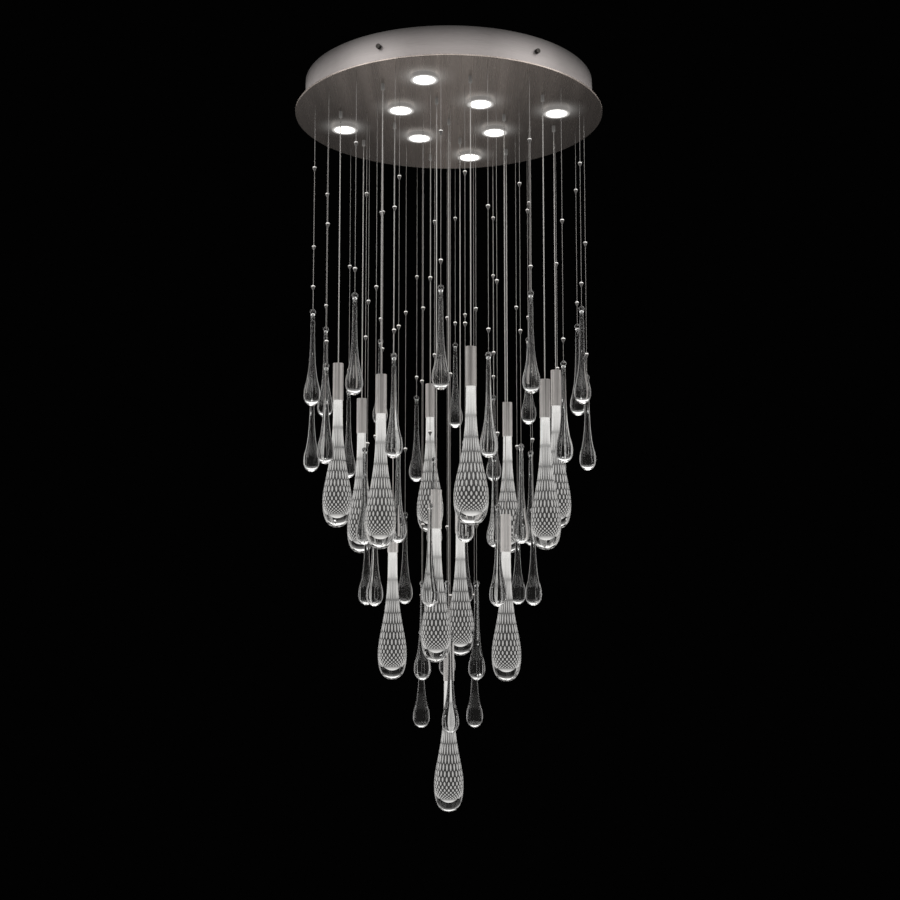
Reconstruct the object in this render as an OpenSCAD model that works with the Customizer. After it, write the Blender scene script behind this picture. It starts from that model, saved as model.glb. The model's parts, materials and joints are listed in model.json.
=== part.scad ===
// Multi-light pendant: a round ceiling canopy that carries lit bubble-glass drops on cables,
// clear glass drops on beaded wires, and flush puck lights.
// Millimetres, +Z up. The origin is the centre of the face that meets the ceiling.

/* [Canopy] */
// Diameter of the bottom plate
plate_d = 900; // [700:1:1200]
// Thickness of the bottom plate
plate_t = 5; // [5:0.5:8]
// Small bevel on the plate's edge
plate_bevel = 0.8; // [0.2:0.1:1.5]
// How far the plate stands out past the drum
rim_w = 29; // [10:1:60]
// Height of the drum from ceiling to plate
drum_h = 90; // [75:1:160]
// Thickness of the drum's rolled wall
drum_wall = 2; // [1:0.1:4]
// Width of the flange turned in at the drum's foot
flange_w = 12; // [10:1:14]
// Thickness of that flange
flange_t = 2; // [1:0.1:4]
// Gap between the drum's top edge and the ceiling
ceiling_gap = 0.5; // [0.3:0.1:2]

/* [Ceiling frame] */
// Thickness of the ceiling frame's steel
frame_t = 4; // [3:0.5:8]
// Width of the frame's ring
frame_w = 40; // [30:1:60]
// Width of the frame's cross arms
arm_w = 40; // [30:1:60]
// Diameter of the hub where the arms cross
hub_d = 160; // [120:1:200]
// Diameter of the supply cable's hole in the hub
supply_hole_d = 60; // [30:1:80]
// Number of ceiling bolts
ceiling_bolts = 6; // [4:1:8]
// Diameter of each ceiling bolt's hole
ceiling_bolt_hole_d = 9; // [6:0.5:12]
// Number of thumbscrews that hold the drum
drum_screws_n = 6; // [3:1:8]
// Direction of the first thumbscrew
drum_screw_angle = 4; // [0:1:44]
// Depth of the thumbscrews below the ceiling
drum_screw_depth = 41; // [30:1:50]
// Diameter of a thumbscrew's shank
drum_screw_d = 5; // [4:0.5:6]
// Diameter of a thumbscrew's knurled head
drum_screw_head_d = 13; // [10:1:16]
// Length of that head
drum_screw_head_l = 9; // [6:1:14]
// Number of knurl grooves round the head
knurls_n = 12; // [8:1:20]
// Diameter of the cutter that makes each groove
knurl_d = 1.8; // [1:0.1:3]
// How far that cutter stands outside the head
knurl_offset = 0.3; // [0:0.1:0.8]
// Smooth collar left at the head's inner end
knurl_collar = 1.5; // [1:0.5:3]
// Width of the tabs that the thumbscrews enter
tab_w = 30; // [20:1:50]
// Thickness of those tabs
tab_t = 5; // [3:0.5:8]
// How far a tab reaches below its thumbscrew
tab_reach = 14; // [8:1:20]

/* [Drilled circles] */
// Radius of the innermost circle of clear drops
first_circle_r = 87.5; // [75:0.5:100]
// Distance from the drum's wall to the outermost circle
edge_inset = 22; // [20:1:32]
// Angle that the whole pattern starts from
pattern_angle = 10.5; // [0:0.5:22]
// Angle of the first outer clear drop
outer_strand_angle = 15; // [12:0.5:20]
// Number of clear drops on the outer circle
outer_strands_n = 20; // [12:2:24]
// Number of clear drops on the middle circle
middle_strands_n = 16; // [8:2:16]
// Number of clear drops on the inner circle
inner_strands_n = 6; // [4:2:6]

/* [Clear drops] */
// Length of a clear drop with its knob
drop_l = 275; // [240:1:320]
// Largest diameter of a clear drop
drop_d = 47; // [36:1:54]
// Diameter of its neck below the knob
drop_neck_d = 12; // [9:0.5:14]
// Depth below its top where the neck starts to widen
drop_neck_l = 45; // [30:1:70]
// Diameter of the domed knob at its top
drop_knob_d = 16.5; // [15:0.5:20]
// Height of the rounded bottom below the widest place
drop_bottom_h = 29; // [24:1:40]
// How far the neck's line runs down before it turns out, as a share of the widest place's depth
drop_neck_pull = 0.91; // [0.7:0.01:0.95]
// How high the body's side starts to turn in, as a share of that depth
drop_body_pull = 0.82; // [0.7:0.01:0.95]
// Fullness of the rounded bottom; 0.55 is a plain ellipse
drop_fullness = 0.55; // [0.5:0.05:0.8]
// Diameter of the suspension wire
wire_d = 1.2; // [0.8:0.1:2]
// Depth that the wire is held in a knob
wire_grip = 6; // [4:1:10]
// Largest diameter of a bead, at the foot of its dome
bead_d = 11.5; // [9:0.5:16]
// Height of a bead's dome
bead_dome_h = 4.5; // [3:0.5:7]
// Length of a bead's taper below the dome
bead_taper_l = 11; // [8:0.5:14]
// Diameter of that taper's tip
bead_tip_d = 2.2; // [2.1:0.1:4]
// Diameter of a wire stop above the plate
stop_d = 8; // [5:0.5:9]
// Height of a wire stop
stop_h = 8; // [5:0.5:12]
// Wire length to the outer short drops
outer_short_l = 595; // [540:1:650]
// Wire length to the outer long drops
outer_long_l = 769; // [700:1:840]
// Wire length to the middle short drops
middle_short_l = 981; // [900:1:1060]
// Wire length to the middle long drops
middle_long_l = 1151; // [1060:1:1240]
// Wire length to the inner short drops
inner_short_l = 1357; // [1250:1:1460]
// Wire length to the inner long drops
inner_long_l = 1497; // [1380:1:1620]
// Lower bead above an outer short drop
outer_short_bead = 65; // [40:1:90]
// Lower bead above an outer long drop
outer_long_bead = 60; // [40:1:90]
// Lower bead above a middle short drop
middle_short_bead = 318; // [280:1:360]
// Lower bead above a middle long drop
middle_long_bead = 192; // [150:1:230]
// Lower bead above an inner short drop
inner_short_bead = 157; // [120:1:200]
// Lower bead above an inner long drop
inner_long_bead = 99; // [70:1:140]
// Distance between the two beads of an outer short wire
outer_short_gap = 346; // [300:1:400]
// Distance between the two beads of an outer long wire
outer_long_gap = 328; // [280:1:380]
// Distance between the two beads of a middle wire
middle_gap = 422; // [370:1:470]
// Distance between the two beads of an inner wire
inner_gap = 621; // [560:1:680]

/* [Lit pendants] */
// Number of lit pendants on the outer circle
outer_pendants_n = 8; // [8:1:8]
// Number of lit pendants on the inner circle
inner_pendants_n = 4; // [4:1:4]
// Largest diameter of a lit drop
glass_d = 82; // [70:1:90]
// Visible length of a lit drop below its cap
glass_l = 360; // [320:1:400]
// Largest diameter of the lit drop at the front, the stoutest of the set
front_glass_d = 92; // [75:1:94]
// Visible length of that front drop
front_glass_l = 366; // [320:1:400]
// Diameter of a lit drop's neck
glass_neck_d = 27; // [22:0.5:30]
// Straight length of its neck below the cap
glass_neck_l = 30; // [20:1:60]
// Height of the rounded bottom below the widest place
glass_bottom_h = 74; // [50:1:85]
// How far the neck's line runs down before it turns out, as a share of the widest place's depth
glass_neck_pull = 0.65; // [0.5:0.01:0.8]
// How high the body's side starts to turn in, as a share of that depth
glass_body_pull = 0.8; // [0.6:0.01:0.9]
// Fullness of the rounded bottom; 0.55 is a plain ellipse
glass_fullness = 0.68; // [0.5:0.01:0.8]
// Length of the neck that is held inside the cap
glass_grip = 15; // [10:1:20]
// Length of the metal cap
cap_l = 106; // [95:1:120]
// Thickness of the cap's wall
cap_wall = 1.2; // [1:0.1:3]
// Thickness of the cap's closed top
cap_top_t = 3; // [2:0.5:5]
// Depth of the shadow line near the cap's top
cap_line = 0.4; // [0.2:0.1:0.6]
// Diameter of a pendant's cable
cable_d = 2.8; // [2:0.1:4]
// Diameter of the ball crimped on the cable's upper end
ball_d = 9; // [8:0.5:10]
// Diameter of the ferrule inside the cap
ferrule_d = 7; // [6:0.5:10]
// Length of the ferrule inside the cap
ferrule_l = 8; // [5:0.5:10]
// Length of the lamp module inside the cap
module_l = 62; // [40:1:65]
// Diameter of the emitter under the module
emitter_d = 10; // [6:0.5:14]
// Thickness of the emitter
emitter_t = 2; // [1:0.5:3]
// Cable length to the outer short caps
outer_short_cable = 742; // [700:1:790]
// Cable length to the outer long caps
outer_long_cable = 808; // [760:1:860]
// Cable length to the inner short caps
inner_short_cable = 1110; // [1050:1:1180]
// Cable length to the inner long caps
inner_long_cable = 1170; // [1110:1:1230]
// Cable length to the centre cap
centre_cable = 1531; // [1450:1:1600]

/* [Cable glands] */
// Diameter of the gland's shank
gland_d = 10; // [9.6:0.1:12]
// Length of the shank below the plate
gland_l = 18; // [10:1:24]
// Diameter of the flange that rests on the plate
gland_flange_d = 20; // [18:0.5:22]
// Thickness of that flange
gland_flange_t = 3; // [2:0.5:5]
// Diameter of the cup that holds the cable's ball
cup_d = 16; // [13:0.5:18]
// Height of the ball's centre above the plate
ball_height = 9; // [8:0.5:12]
// Largest angle that a pendant swings
sway = 3; // [1:0.5:3]

/* [Puck lights] */
// Number of puck lights on each of two circles
pucks_n = 4; // [4:1:4]
// Diameter of a puck's housing
puck_d = 79; // [70:1:90]
// Height of the housing below the plate
puck_h = 10; // [8:0.5:14]
// Diameter of the puck's lens
lens_d = 59; // [50:1:66]
// Thickness of the lens
lens_t = 3; // [2:0.5:4]
// Width of the ledge that the lens seats on
lens_ledge = 3; // [2:0.5:5]
// Thickness of the circuit board
board_t = 1.6; // [1:0.1:2]
// Side of a light chip on the board
chip_w = 3; // [2:0.5:5]
// Height of a light chip
chip_t = 0.8; // [0.5:0.1:1.2]
// Number of chips round the board's middle one
chips_n = 6; // [4:1:10]
// Depth of the hollow for the board behind the lens
board_room = 4; // [3:0.5:4.5]
// Diameter of the hollow stem through the plate
stem_d = 10; // [8:0.5:12]
// Bore of that stem for the puck's wires
stem_bore_d = 5; // [3:0.5:6]
// Width of the nut on the stem, across its flats
nut_w = 17; // [15:0.5:19]
// Height of that nut
nut_h = 5; // [4:0.5:8]
// How far the stem stands above its nut
stem_reach = 2; // [1:0.5:4]

/* [Drivers and terminals] */
// Number of lamp drivers on the plate
drivers_n = 4; // [2:1:4]
// Length of a driver's case
driver_l = 150; // [100:1:160]
// Width of a driver's case
driver_w = 40; // [30:1:44]
// Height of a driver's case
driver_h = 28; // [20:1:32]
// Length of each screw foot
foot_l = 12; // [10:1:16]
// Thickness of each screw foot
foot_t = 2; // [1.5:0.5:3]
// Length of the terminal block
terminal_l = 60; // [40:1:70]
// Width of the terminal block
terminal_w = 24; // [16:1:30]
// Height of the terminal block
terminal_h = 18; // [12:1:22]
// Number of ways in the terminal block
terminal_ways = 4; // [2:1:5]
// Diameter of each wire entry in the terminal block
terminal_bore_d = 5; // [3:0.5:6]

/* [Screws and clearances] */
// Number of screws that join the drum to the plate
plate_screws_n = 12; // [6:1:16]
// Diameter of the small screws
screw_d = 4; // [3:0.5:5]
// Diameter of their pan heads
screw_head_d = 7.5; // [7:0.5:9]
// Height of their pan heads
screw_head_h = 2.6; // [2:0.1:4]
// Depth of their blind holes in the plate
screw_bite = 3; // [2:0.5:4]
// Width of a screwdriver slot
slot_w = 1; // [0.6:0.1:1.4]
// Radial clearance between a thread and its hole
thread_gap = 0.05; // [0.02:0.01:0.1]
// Radial clearance of a through hole round a screw
hole_gap = 0.25; // [0.1:0.05:0.5]
// Clearance between pieces that slip together
slip = 0.3; // [0.2:0.05:0.5]
// Radial clearance of a hole round a wire or cable
wire_gap = 0.05; // [0.02:0.01:0.1]
// Radial clearance of the plate's holes round a wire
wire_hole_gap = 0.6; // [0.3:0.1:1]

/* [Hidden] */
// Depths are positive downwards from the ceiling.
plate_top = drum_h;
plate_under = drum_h + plate_t;

drum_r = plate_d / 2 - rim_w;
drum_ir = drum_r - drum_wall;
flange_screw_r = drum_ir - flange_w / 2;
frame_r = drum_ir - slip;
frame_ir = frame_r - frame_w;
ceiling_bolt_r = frame_r - frame_w / 2;
tab_ir = frame_r - tab_t;
tab_end = drum_screw_depth + tab_reach;

// Five circles are drilled at even steps from the first to the one beside the wall.
outer_strand_r = drum_ir - edge_inset;
circle_step = (outer_strand_r - first_circle_r) / 4;
inner_pendant_r = first_circle_r + circle_step;
middle_strand_r = first_circle_r + 2 * circle_step;
outer_pendant_r = first_circle_r + 3 * circle_step;
driver_r = (middle_strand_r + outer_pendant_r) / 2;
pattern_step = 22.5;

wire_r = wire_d / 2;
wire_tail = 3;
drop_r = drop_d / 2;
drop_wide = drop_l - drop_bottom_h;
knob_r = drop_knob_d / 2;
neck_r = drop_neck_d / 2;
cable_r = cable_d / 2;
cable_tail = 8;
ball_r = ball_d / 2;
pivot = plate_top - ball_height;
mouth = plate_under + gland_l;
gland_bore_r = cable_r + (mouth - pivot) * tan(sway) + slip;

glass_neck_r = glass_neck_d / 2;
cap_ir = glass_neck_r + slip;
cap_r = cap_ir + cap_wall;
module_r = cap_ir - wire_gap * 2;
module_end = cap_l - glass_grip - emitter_t - slip;
line_top = 4;
line_h = 0.8;

lens_seat_r = lens_d / 2 + slip;
board_r = lens_d / 2 - lens_ledge - slip;
chip_circle_r = board_r * 0.65;
stem_top = nut_h + stem_reach;

// How far a cut runs past the face that it opens, and one piece's parts run into each other.
over = 1;
sink = 0.01;
$fn = 64;
curve_steps = 12;
end_steps = 8;

root_nodes = ["ceiling_frame", "canopy_drum", "canopy_plate", "drum_screws", "plate_screws",
    "puck_housings", "puck_boards", "puck_lenses", "puck_nuts", "cable_glands", "wire_stops",
    "lamp_drivers", "driver_screws", "terminal_block", "suspension_wires", "wire_beads",
    "outer_clear_drops", "middle_clear_drops", "inner_clear_drops"];
pendants_n = outer_pendants_n + inner_pendants_n + 1;
function pendant_name(k) =
    k < outer_pendants_n ? str("outer_", k + 1)
    : k < pendants_n - 1 ? str("inner_", k - outer_pendants_n + 1)
    : "centre";

// Each tier of clear drops: circle radius, count, first angle, wire length, lower bead, bead gap.
middle_tier_n = middle_strands_n / 2;
outer_tier_n = outer_strands_n / 2;
inner_tier_n = inner_strands_n / 2;
inner_strand_angle = pattern_angle + pattern_step;
outer_tiers = [
    [outer_strand_r, outer_tier_n, outer_strand_angle,
        outer_short_l, outer_short_bead, outer_short_gap],
    [outer_strand_r, outer_tier_n, outer_strand_angle + 360 / outer_strands_n,
        outer_long_l, outer_long_bead, outer_long_gap]];
middle_tiers = [
    [middle_strand_r, middle_tier_n, pattern_angle,
        middle_short_l, middle_short_bead, middle_gap],
    [middle_strand_r, middle_tier_n, pattern_angle + 360 / middle_strands_n,
        middle_long_l, middle_long_bead, middle_gap]];
inner_tiers = [
    [first_circle_r, inner_tier_n, inner_strand_angle + 360 / inner_strands_n,
        inner_short_l, inner_short_bead, inner_gap],
    [first_circle_r, inner_tier_n, inner_strand_angle,
        inner_long_l, inner_long_bead, inner_gap]];
all_tiers = concat(outer_tiers, middle_tiers, inner_tiers);

// Where each lit pendant hangs: circle radius, angle and cable length below the plate.
function pendant_r(k) =
    k < outer_pendants_n ? outer_pendant_r : k < pendants_n - 1 ? inner_pendant_r : 0;
function pendant_angle(k) =
    k < outer_pendants_n ? pattern_angle + k * 360 / outer_pendants_n
    : k < pendants_n - 1
        ? pattern_angle + 3 * pattern_step + (k - outer_pendants_n) * 360 / inner_pendants_n
    : 0;
function cable_length(k) =
    k < outer_pendants_n ? (k % 2 == 0 ? outer_short_cable : outer_long_cable)
    : k < pendants_n - 1 ? (k % 2 == 0 ? inner_short_cable : inner_long_cable)
    : centre_cable;

// Diameter and length of each lit drop; the front one is larger.
front_pendant = 6;
function glass_size(k) =
    k == front_pendant ? [front_glass_d, front_glass_l] : [glass_d, glass_l];

// A point at share u of a cubic curve, and a run of such points.
function curve_point(a, b, c, d, u) =
    a * pow(1 - u, 3) + b * 3 * u * pow(1 - u, 2) + c * 3 * u * u * (1 - u) + d * pow(u, 3);
function curve_run(a, b, c, d, steps) = [for (i = [0:steps - 1]) curve_point(a, b, c, d, i / steps)];
// A rounded bottom from its widest place down to the axis, as radius and height.
function round_end(r, h, z, fullness, steps) =
    [for (i = [0:steps])
        curve_point([r, z], [r, z - h * fullness], [r * fullness, z - h], [0, z - h], i / steps)];

// Copies the children round one tier's circle.
module round_tier(tier) {
    for (i = [0:tier[1] - 1])
        rotate([0, 0, tier[2] + i * 360 / tier[1]])
            translate([tier[0], 0, 0])
                children();
}

module at_pendant(k) {
    rotate([0, 0, pendant_angle(k)])
        translate([pendant_r(k), 0, 0])
            children();
}

module at_pendants() {
    for (k = [0:pendants_n - 1])
        at_pendant(k)
            children();
}

// The pucks share the pendants' two circles, between the pendants.
module at_pucks() {
    for (i = [0:pucks_n - 1]) {
        rotate([0, 0, pattern_angle + 3 * pattern_step + i * 360 / pucks_n])
            translate([outer_pendant_r, 0, 0])
                children();
        rotate([0, 0, pattern_angle + pattern_step + i * 360 / pucks_n])
            translate([inner_pendant_r, 0, 0])
                children();
    }
}

module at_plate_screws() {
    for (i = [0:plate_screws_n - 1])
        rotate([0, 0, (i + 0.5) * 360 / plate_screws_n])
            translate([flange_screw_r, 0, 0])
                children();
}

module at_drum_screws() {
    for (i = [0:drum_screws_n - 1])
        rotate([0, 0, drum_screw_angle + i * 360 / drum_screws_n])
            children();
}

module at_drivers() {
    for (i = [0:drivers_n - 1])
        rotate([0, 0, 45 + i * 360 / drivers_n])
            translate([driver_r, 0, -plate_top])
                children();
}

module at_driver_screws() {
    at_drivers()
        for (side = [-1, 1])
            translate([0, side * (driver_l + foot_l) / 2, 0])
                children();
}

// A cylinder that runs down from one depth to another.
module down(r, from, to) {
    translate([0, 0, -to])
        cylinder(r = r, h = to - from);
}

// A pan-head screw with its head resting at z = 0 and its shank below.
module pan_screw(shank_l) {
    difference() {
        union() {
            cylinder(d = screw_head_d, h = screw_head_h);
            down(screw_d / 2, 0, shank_l);
        }
        translate([-screw_head_d / 2, -slot_w / 2, screw_head_h / 2])
            cube([screw_head_d, slot_w, screw_head_h]);
    }
}

module ceiling_frame() {
    color("gainsboro")
        difference() {
            union() {
                difference() {
                    down(frame_r, 0, frame_t);
                    down(frame_ir, -over, frame_t + over);
                }
                intersection() {
                    down(frame_r - frame_w / 2, 0, frame_t);
                    for (turn = [0, 90])
                        rotate([0, 0, turn])
                            translate([-frame_r, -arm_w / 2, -frame_t])
                                cube([2 * frame_r, arm_w, frame_t]);
                }
                down(hub_d / 2, 0, frame_t);
                intersection() {
                    at_drum_screws()
                        translate([tab_ir, -tab_w / 2, -tab_end])
                            cube([2 * tab_t, tab_w, tab_end]);
                    down(frame_r, 0, tab_end);
                }
            }
            down(supply_hole_d / 2, -over, frame_t + over);
            for (i = [0:ceiling_bolts - 1])
                rotate([0, 0, (i + 0.5) * 360 / ceiling_bolts + drum_screw_angle])
                    translate([ceiling_bolt_r, 0, 0])
                        down(ceiling_bolt_hole_d / 2, -over, frame_t + over);
            at_drum_screws()
                translate([frame_r - 2 * tab_t, 0, -drum_screw_depth])
                    rotate([0, 90, 0])
                        cylinder(r = drum_screw_d / 2 + thread_gap, h = 3 * tab_t);
        }
}

module canopy_drum() {
    color("rosybrown")
        difference() {
            down(drum_r, ceiling_gap, plate_top);
            down(drum_ir, 0, plate_top - flange_t);
            down(drum_ir - flange_w, 0, plate_top + over);
            at_drum_screws()
                translate([drum_ir - drum_wall, 0, -drum_screw_depth])
                    rotate([0, 90, 0])
                        cylinder(r = drum_screw_d / 2 + hole_gap, h = 3 * drum_wall);
            at_plate_screws()
                down(screw_d / 2 + hole_gap, 0, plate_top + over);
        }
}

module drum_screws() {
    color("dimgray")
        at_drum_screws()
            translate([0, 0, -drum_screw_depth])
                rotate([0, 90, 0]) {
                    translate([0, 0, tab_ir])
                        cylinder(d = drum_screw_d, h = drum_r - tab_ir);
                    difference() {
                        translate([0, 0, drum_r])
                            cylinder(d = drum_screw_head_d, h = drum_screw_head_l);
                        for (i = [0:knurls_n - 1])
                            rotate([0, 0, i * 360 / knurls_n])
                                translate([drum_screw_head_d / 2 + knurl_offset, 0, drum_r + knurl_collar])
                                    cylinder(d = knurl_d, h = drum_screw_head_l, $fn = 16);
                    }
                }
}

module canopy_plate() {
    color("tan")
        difference() {
            rotate_extrude($fn = 128)
                polygon([[0, -plate_top],
                    [plate_d / 2 - plate_bevel, -plate_top],
                    [plate_d / 2, -plate_top - plate_bevel],
                    [plate_d / 2, -plate_under + plate_bevel],
                    [plate_d / 2 - plate_bevel, -plate_under],
                    [0, -plate_under]]);
            for (tier = all_tiers)
                round_tier(tier)
                    down(wire_r + wire_hole_gap, plate_top - over, plate_under + over);
            at_pendants()
                down(gland_d / 2 + thread_gap, plate_top - over, plate_under + over);
            at_pucks()
                down(stem_d / 2 + thread_gap, plate_top - over, plate_under + over);
            at_plate_screws()
                down(screw_d / 2 + thread_gap, plate_top - over, plate_top + screw_bite);
            at_driver_screws()
                down(screw_d / 2 + thread_gap, -over, screw_bite);
        }
}

module plate_screws() {
    color("silver")
        at_plate_screws()
            translate([0, 0, -plate_top + flange_t])
                pan_screw(flange_t + screw_bite);
}

// One housing, drawn with its back on z = 0 and its stem rising through the plate.
module puck_housing() {
    difference() {
        union() {
            down(puck_d / 2, 0, puck_h);
            cylinder(d = stem_d, h = plate_t + stem_top);
        }
        down(lens_seat_r, puck_h - lens_t, puck_h + over);
        down(lens_seat_r - lens_ledge, puck_h - lens_t - board_room, puck_h + over);
        translate([0, 0, -puck_h])
            cylinder(d = stem_bore_d, h = puck_h + plate_t + stem_top + over);
    }
}

module puck_housings() {
    color("lightgray")
        at_pucks()
            translate([0, 0, -plate_under])
                puck_housing();
}

module puck_boards() {
    color("whitesmoke")
        at_pucks()
            translate([0, 0, -plate_under - puck_h + lens_t + board_room]) {
                down(board_r, 0, board_t);
                for (i = [0:chips_n])
                    rotate([0, 0, i * 360 / chips_n])
                        translate([i < chips_n ? chip_circle_r : 0, 0, -board_t - chip_t / 2])
                            cube([chip_w, chip_w, chip_t + sink], center = true);
            }
}

module puck_lenses() {
    color("white")
        at_pucks()
            translate([0, 0, -plate_under])
                down(lens_d / 2, puck_h - lens_t, puck_h);
}

module puck_nuts() {
    color("silver")
        at_pucks()
            translate([0, 0, -plate_top])
                difference() {
                    cylinder(d = nut_w / cos(30), h = nut_h, $fn = 6);
                    translate([0, 0, -over])
                        cylinder(d = stem_d + 2 * thread_gap, h = nut_h + 2 * over);
                }
}

// Flanged bushes that drop through the plate; each one's cup carries a cable's ball.
module cable_glands() {
    color("silver")
        at_pendants()
            difference() {
                union() {
                    down(cup_d / 2, pivot, plate_top);
                    down(gland_flange_d / 2, plate_top - gland_flange_t, plate_top);
                    down(gland_d / 2, plate_top - over, mouth);
                }
                down(gland_bore_r, pivot - over, mouth + over);
                translate([0, 0, -pivot])
                    sphere(r = ball_r + slip);
            }
}

module wire_stops() {
    color("silver")
        for (tier = all_tiers)
            round_tier(tier)
                difference() {
                    down(stop_d / 2, plate_top - stop_h, plate_top);
                    down(wire_r + wire_gap, plate_top - stop_h - over, plate_top + over);
                }
}

module lamp_drivers() {
    color("white")
        difference() {
            at_drivers() {
                translate([-driver_w / 2, -driver_l / 2, 0])
                    cube([driver_w, driver_l, driver_h]);
                translate([-driver_w / 2, -driver_l / 2 - foot_l, 0])
                    cube([driver_w, driver_l + 2 * foot_l, foot_t]);
            }
            at_driver_screws()
                translate([0, 0, -over])
                    cylinder(r = screw_d / 2 + hole_gap, h = foot_t + 2 * over);
        }
}

module driver_screws() {
    color("silver")
        at_driver_screws()
            translate([0, 0, foot_t])
                pan_screw(foot_t + screw_bite);
}

// The block hangs from the underside of one frame arm, beside the hub.
module terminal_block() {
    color("ivory")
        translate([hub_d / 2 + terminal_l / 2, 0, -frame_t - terminal_h / 2])
            difference() {
                cube([terminal_l, terminal_w, terminal_h], center = true);
                for (i = [0:terminal_ways - 1])
                    translate([(i - (terminal_ways - 1) / 2) * terminal_l / terminal_ways, 0, 0])
                        rotate([90, 0, 0])
                            cylinder(d = terminal_bore_d, h = terminal_w + 2 * over, center = true);
            }
}

module suspension_wires() {
    color("gray")
        for (tier = all_tiers)
            round_tier(tier)
                down(wire_r, plate_top - stop_h - wire_tail,
                    plate_under + tier[3] + wire_grip - wire_gap);
}

// A low dome over a long taper, bored for the wire.
module bead() {
    difference() {
        rotate_extrude()
            polygon(concat(
                [for (a = [90:-15:0]) [bead_d / 2 * cos(a), bead_dome_h * sin(a)]],
                [[bead_tip_d / 2, -bead_taper_l], [0, -bead_taper_l]]));
        down(wire_r + wire_gap, -bead_dome_h - over, bead_taper_l + over);
    }
}

module wire_beads() {
    color("silver")
        for (tier = all_tiers)
            round_tier(tier)
                for (above = [tier[4], tier[4] + tier[5]])
                    translate([0, 0, -plate_under - tier[3] + above])
                        bead();
}

// Outline of a clear drop from the top of its knob, as radius and height.
function clear_drop_outline() = concat(
    [[0, 0], [knob_r * 0.5, 0]],
    [for (a = [45:-22.5:-22.5]) [knob_r * cos(a), knob_r * (sin(a) - 0.87)]],
    [[neck_r, -drop_knob_d * 0.75]],
    curve_run([neck_r, -drop_neck_l], [neck_r, -drop_wide * drop_neck_pull],
        [drop_r, -drop_wide * drop_body_pull], [drop_r, -drop_wide], curve_steps),
    round_end(drop_r, drop_bottom_h, -drop_wide, drop_fullness, end_steps));

module clear_drop() {
    difference() {
        rotate_extrude()
            polygon(clear_drop_outline());
        down(wire_r + wire_gap, -over, wire_grip);
    }
}

module clear_drops(tiers) {
    color("lightblue")
        for (tier = tiers)
            round_tier(tier)
                translate([0, 0, -plate_under - tier[3]])
                    clear_drop();
}

// The cable's ball sits in the gland's cup; its ferrule bears on the cap's closed top.
module pendant_cable(length) {
    cap_top = plate_under + length;
    color("gray") {
        down(cable_r, pivot - ball_r - cable_tail, cap_top + cap_top_t + ferrule_l / 2);
        translate([0, 0, -pivot])
            sphere(r = ball_r);
        down(ferrule_d / 2, cap_top + cap_top_t, cap_top + cap_top_t + ferrule_l);
    }
}

// The turned cap, and inside it the lamp module with its emitter.
module pendant_cap(length) {
    cap_top = plate_under + length;
    color("silver")
        translate([0, 0, -cap_top])
            difference() {
                down(cap_r, 0, cap_l);
                down(cap_ir, cap_top_t, cap_l + over);
                down(cable_r + wire_gap, -over, cap_top_t + over);
                difference() {
                    down(cap_r + over, line_top, line_top + line_h);
                    down(cap_r - cap_line, 0, cap_l);
                }
            }
    color("white")
        translate([0, 0, -cap_top]) {
            down(module_r, module_end - module_l, module_end);
            down(emitter_d / 2, module_end - over, module_end + emitter_t);
        }
}

// Outline of a lit drop from the top of its gripped neck, as radius and height below the cap.
function lit_drop_outline(r, length) =
    let (wide = length - glass_bottom_h)
    concat(
        [[0, glass_grip], [glass_neck_r, glass_grip]],
        curve_run([glass_neck_r, -glass_neck_l], [glass_neck_r, -wide * glass_neck_pull],
            [r, -wide * glass_body_pull], [r, -wide], curve_steps),
        round_end(r, glass_bottom_h, -wide, glass_fullness, end_steps));

module pendant_glass(length, size) {
    color("aliceblue")
        translate([0, 0, -plate_under - length - cap_l])
            rotate_extrude()
                polygon(lit_drop_outline(size[0] / 2, size[1]));
}

ceiling_frame();
canopy_drum();
canopy_plate();
drum_screws();
plate_screws();
puck_housings();
puck_boards();
puck_lenses();
puck_nuts();
cable_glands();
wire_stops();
lamp_drivers();
driver_screws();
terminal_block();
suspension_wires();
wire_beads();
clear_drops(outer_tiers);  // outer_clear_drops
clear_drops(middle_tiers);  // middle_clear_drops
clear_drops(inner_tiers);  // inner_clear_drops
for (k = [0:pendants_n - 1]) {
    at_pendant(k) pendant_cable(cable_length(k));
    at_pendant(k) pendant_cap(cable_length(k));
    at_pendant(k) pendant_glass(cable_length(k), glass_size(k));
}
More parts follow.
